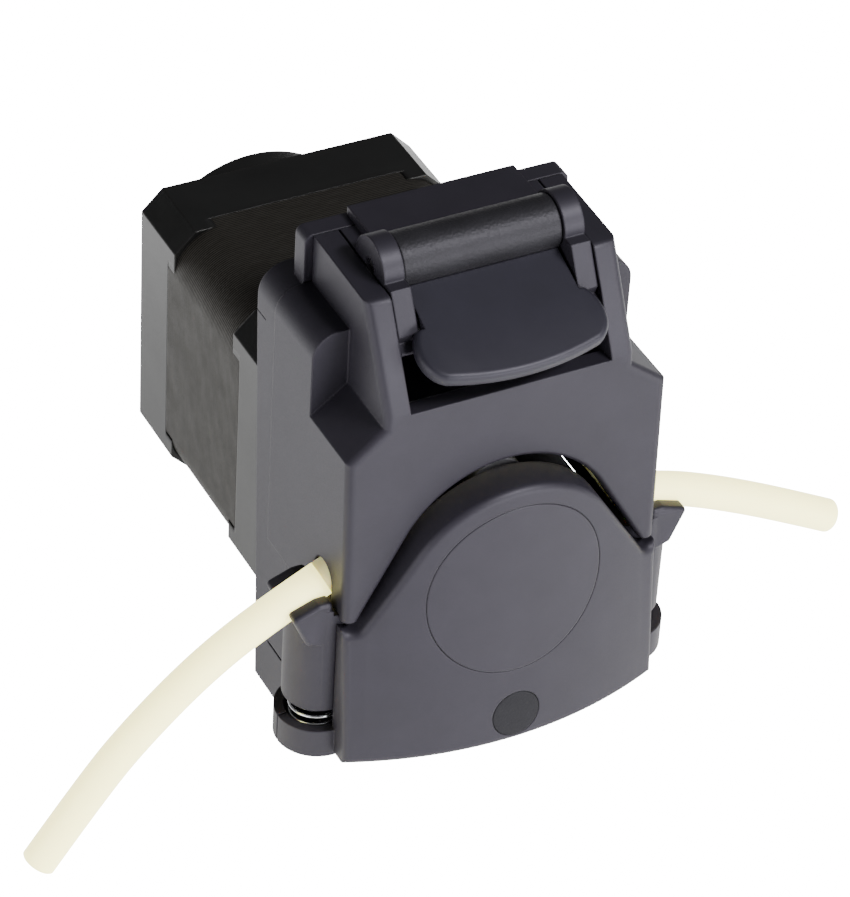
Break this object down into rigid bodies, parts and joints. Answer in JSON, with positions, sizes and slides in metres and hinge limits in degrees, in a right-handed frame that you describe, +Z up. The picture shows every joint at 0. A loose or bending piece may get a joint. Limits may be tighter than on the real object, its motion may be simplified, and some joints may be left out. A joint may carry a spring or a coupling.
{
  "type": "peristaltic pump head",
  "caption": "Peristaltic pump head with a lift-up tube cover, a thumb lever, sprung tube clamps and a roller rotor, driven by a stepper motor, with a tube fitted.",
  "frame": {"origin": "centre of the four mounting inserts, on the rotor and motor axis at the rear face of the pump head", "axes": "+Z up, +Y back along the motor, -Y out of the front of the head, +X to the right seen from the front"},
  "size_m": [0.1671, 0.1175, 0.1134],
  "materials": {
    "housing_plastic": "satin, finely textured",
    "front_plastic": "satin, finely textured",
    "badge_plastic": "satin",
    "coarse_plastic": "coarse matte",
    "paddle_plastic": "matte",
    "motor_paint": "black satin paint",
    "lamination_steel": "dull laminated steel",
    "winding_wire": "enamelled copper wire",
    "magnet_steel": "ground",
    "bright_steel": "ground",
    "black_steel": "black oxide",
    "bearing_steel": "polished",
    "spring_wire": "drawn wire",
    "rotor_plastic": "moulded acetal",
    "carrier_aluminium": "machined",
    "track_plastic": "smooth",
    "bush_bronze": "sintered bronze",
    "insert_brass": "knurled brass",
    "tube_elastomer": "soft satin",
    "connector_plastic": "moulded",
    "board_laminate": "circuit laminate",
    "code_film": "printed film"
  },
  "bodies": {
    "housing": {"motor_front_cap": "motor_paint", "stator_stack": "lamination_steel", "motor_windings": "winding_wire", "front_shaft_bearing": "bearing_steel", "rear_shaft_bearing": "bearing_steel", "motor_rear_cap": "motor_paint", "motor_connector": "connector_plastic", "motor_tie_screws": "black_steel", "encoder_cover": "motor_paint", "encoder_board": "board_laminate", "flange_screws": "black_steel", "base_housing": "housing_plastic", "mounting_inserts": "insert_brass", "front_bush": "bush_bronze", "pump_tube": "tube_elastomer", "tube_left_end": "tube_elastomer", "tube_right_end": "tube_elastomer", "front_housing": "front_plastic", "badge_disc": "badge_plastic", "screw_plug": "coarse_plastic", "front_screw": "bright_steel", "dowel_pins": "bright_steel", "left_clamp_spring": "spring_wire", "right_clamp_spring": "spring_wire", "lever_yoke": "housing_plastic", "yoke_screws": "bright_steel", "hinge_pin": "bright_steel", "left_lift_spring": "spring_wire", "right_lift_spring": "spring_wire"},
    "cover": {"upper_cover": "housing_plastic", "occlusion_track": "track_plastic", "lift_pin": "bright_steel"},
    "lever": {"cam_barrel": "coarse_plastic", "thumb_paddle": "paddle_plastic"},
    "rotor": {"drive_shaft": "bright_steel", "motor_magnet_rotor": "magnet_steel", "encoder_disc": "code_film", "rotor_hub": "rotor_plastic", "rotor_rear_plate": "carrier_aluminium", "rotor_front_plate": "carrier_aluminium", "roller_pins": "bright_steel"},
    "roller_1": {"roller_1": "rotor_plastic"},
    "roller_2": {"roller_2": "rotor_plastic"},
    "roller_3": {"roller_3": "rotor_plastic"},
    "left_clamp": {"left_tube_clamp": "housing_plastic"},
    "right_clamp": {"right_tube_clamp": "housing_plastic"}
  },
  "joints": [
    {"name": "lever_hinge", "type": "hinge", "parent": "housing", "child": "lever", "pos_m": [0, -0.0202, 0.0601], "axis": [-1, 0, 0], "range_deg": [0, 100]},
    {"name": "cover_slide", "type": "slide", "parent": "housing", "child": "cover", "axis": [0, 0, 1], "range_m": [0, 0.008], "deforming": ["left_lift_spring", "right_lift_spring"]},
    {"name": "rotor_spin", "type": "hinge", "parent": "housing", "child": "rotor", "pos_m": [0, 0, 0], "axis": [0, 1, 0], "continuous": true},
    {"name": "roller_1_spin", "type": "hinge", "parent": "rotor", "child": "roller_1", "pos_m": [0, -0.0311, 0.0184], "axis": [0, 1, 0], "continuous": true},
    {"name": "roller_2_spin", "type": "hinge", "parent": "rotor", "child": "roller_2", "pos_m": [-0.01594, -0.0311, -0.0092], "axis": [0, 1, 0], "continuous": true},
    {"name": "roller_3_spin", "type": "hinge", "parent": "rotor", "child": "roller_3", "pos_m": [0.01594, -0.0311, -0.0092], "axis": [0, 1, 0], "continuous": true},
    {"name": "left_clamp_slide", "type": "slide", "parent": "housing", "child": "left_clamp", "axis": [0, 0, 1], "range_m": [-0.003, 0], "stiffness_N_per_m": 800, "springref_m": 0.004, "deforming": ["left_clamp_spring"]},
    {"name": "right_clamp_slide", "type": "slide", "parent": "housing", "child": "right_clamp", "axis": [0, 0, 1], "range_m": [-0.003, 0], "stiffness_N_per_m": 800, "springref_m": 0.004, "deforming": ["right_clamp_spring"]}
  ],
  "couplings": [
    {"joint": "lever_hinge", "follows": "cover_slide", "rad_per_m": 218.17},
    {"joint": "roller_1_spin", "follows": "rotor_spin", "ratio": -4.68},
    {"joint": "roller_2_spin", "follows": "rotor_spin", "ratio": -4.68},
    {"joint": "roller_3_spin", "follows": "rotor_spin", "ratio": -4.68}
  ]
}
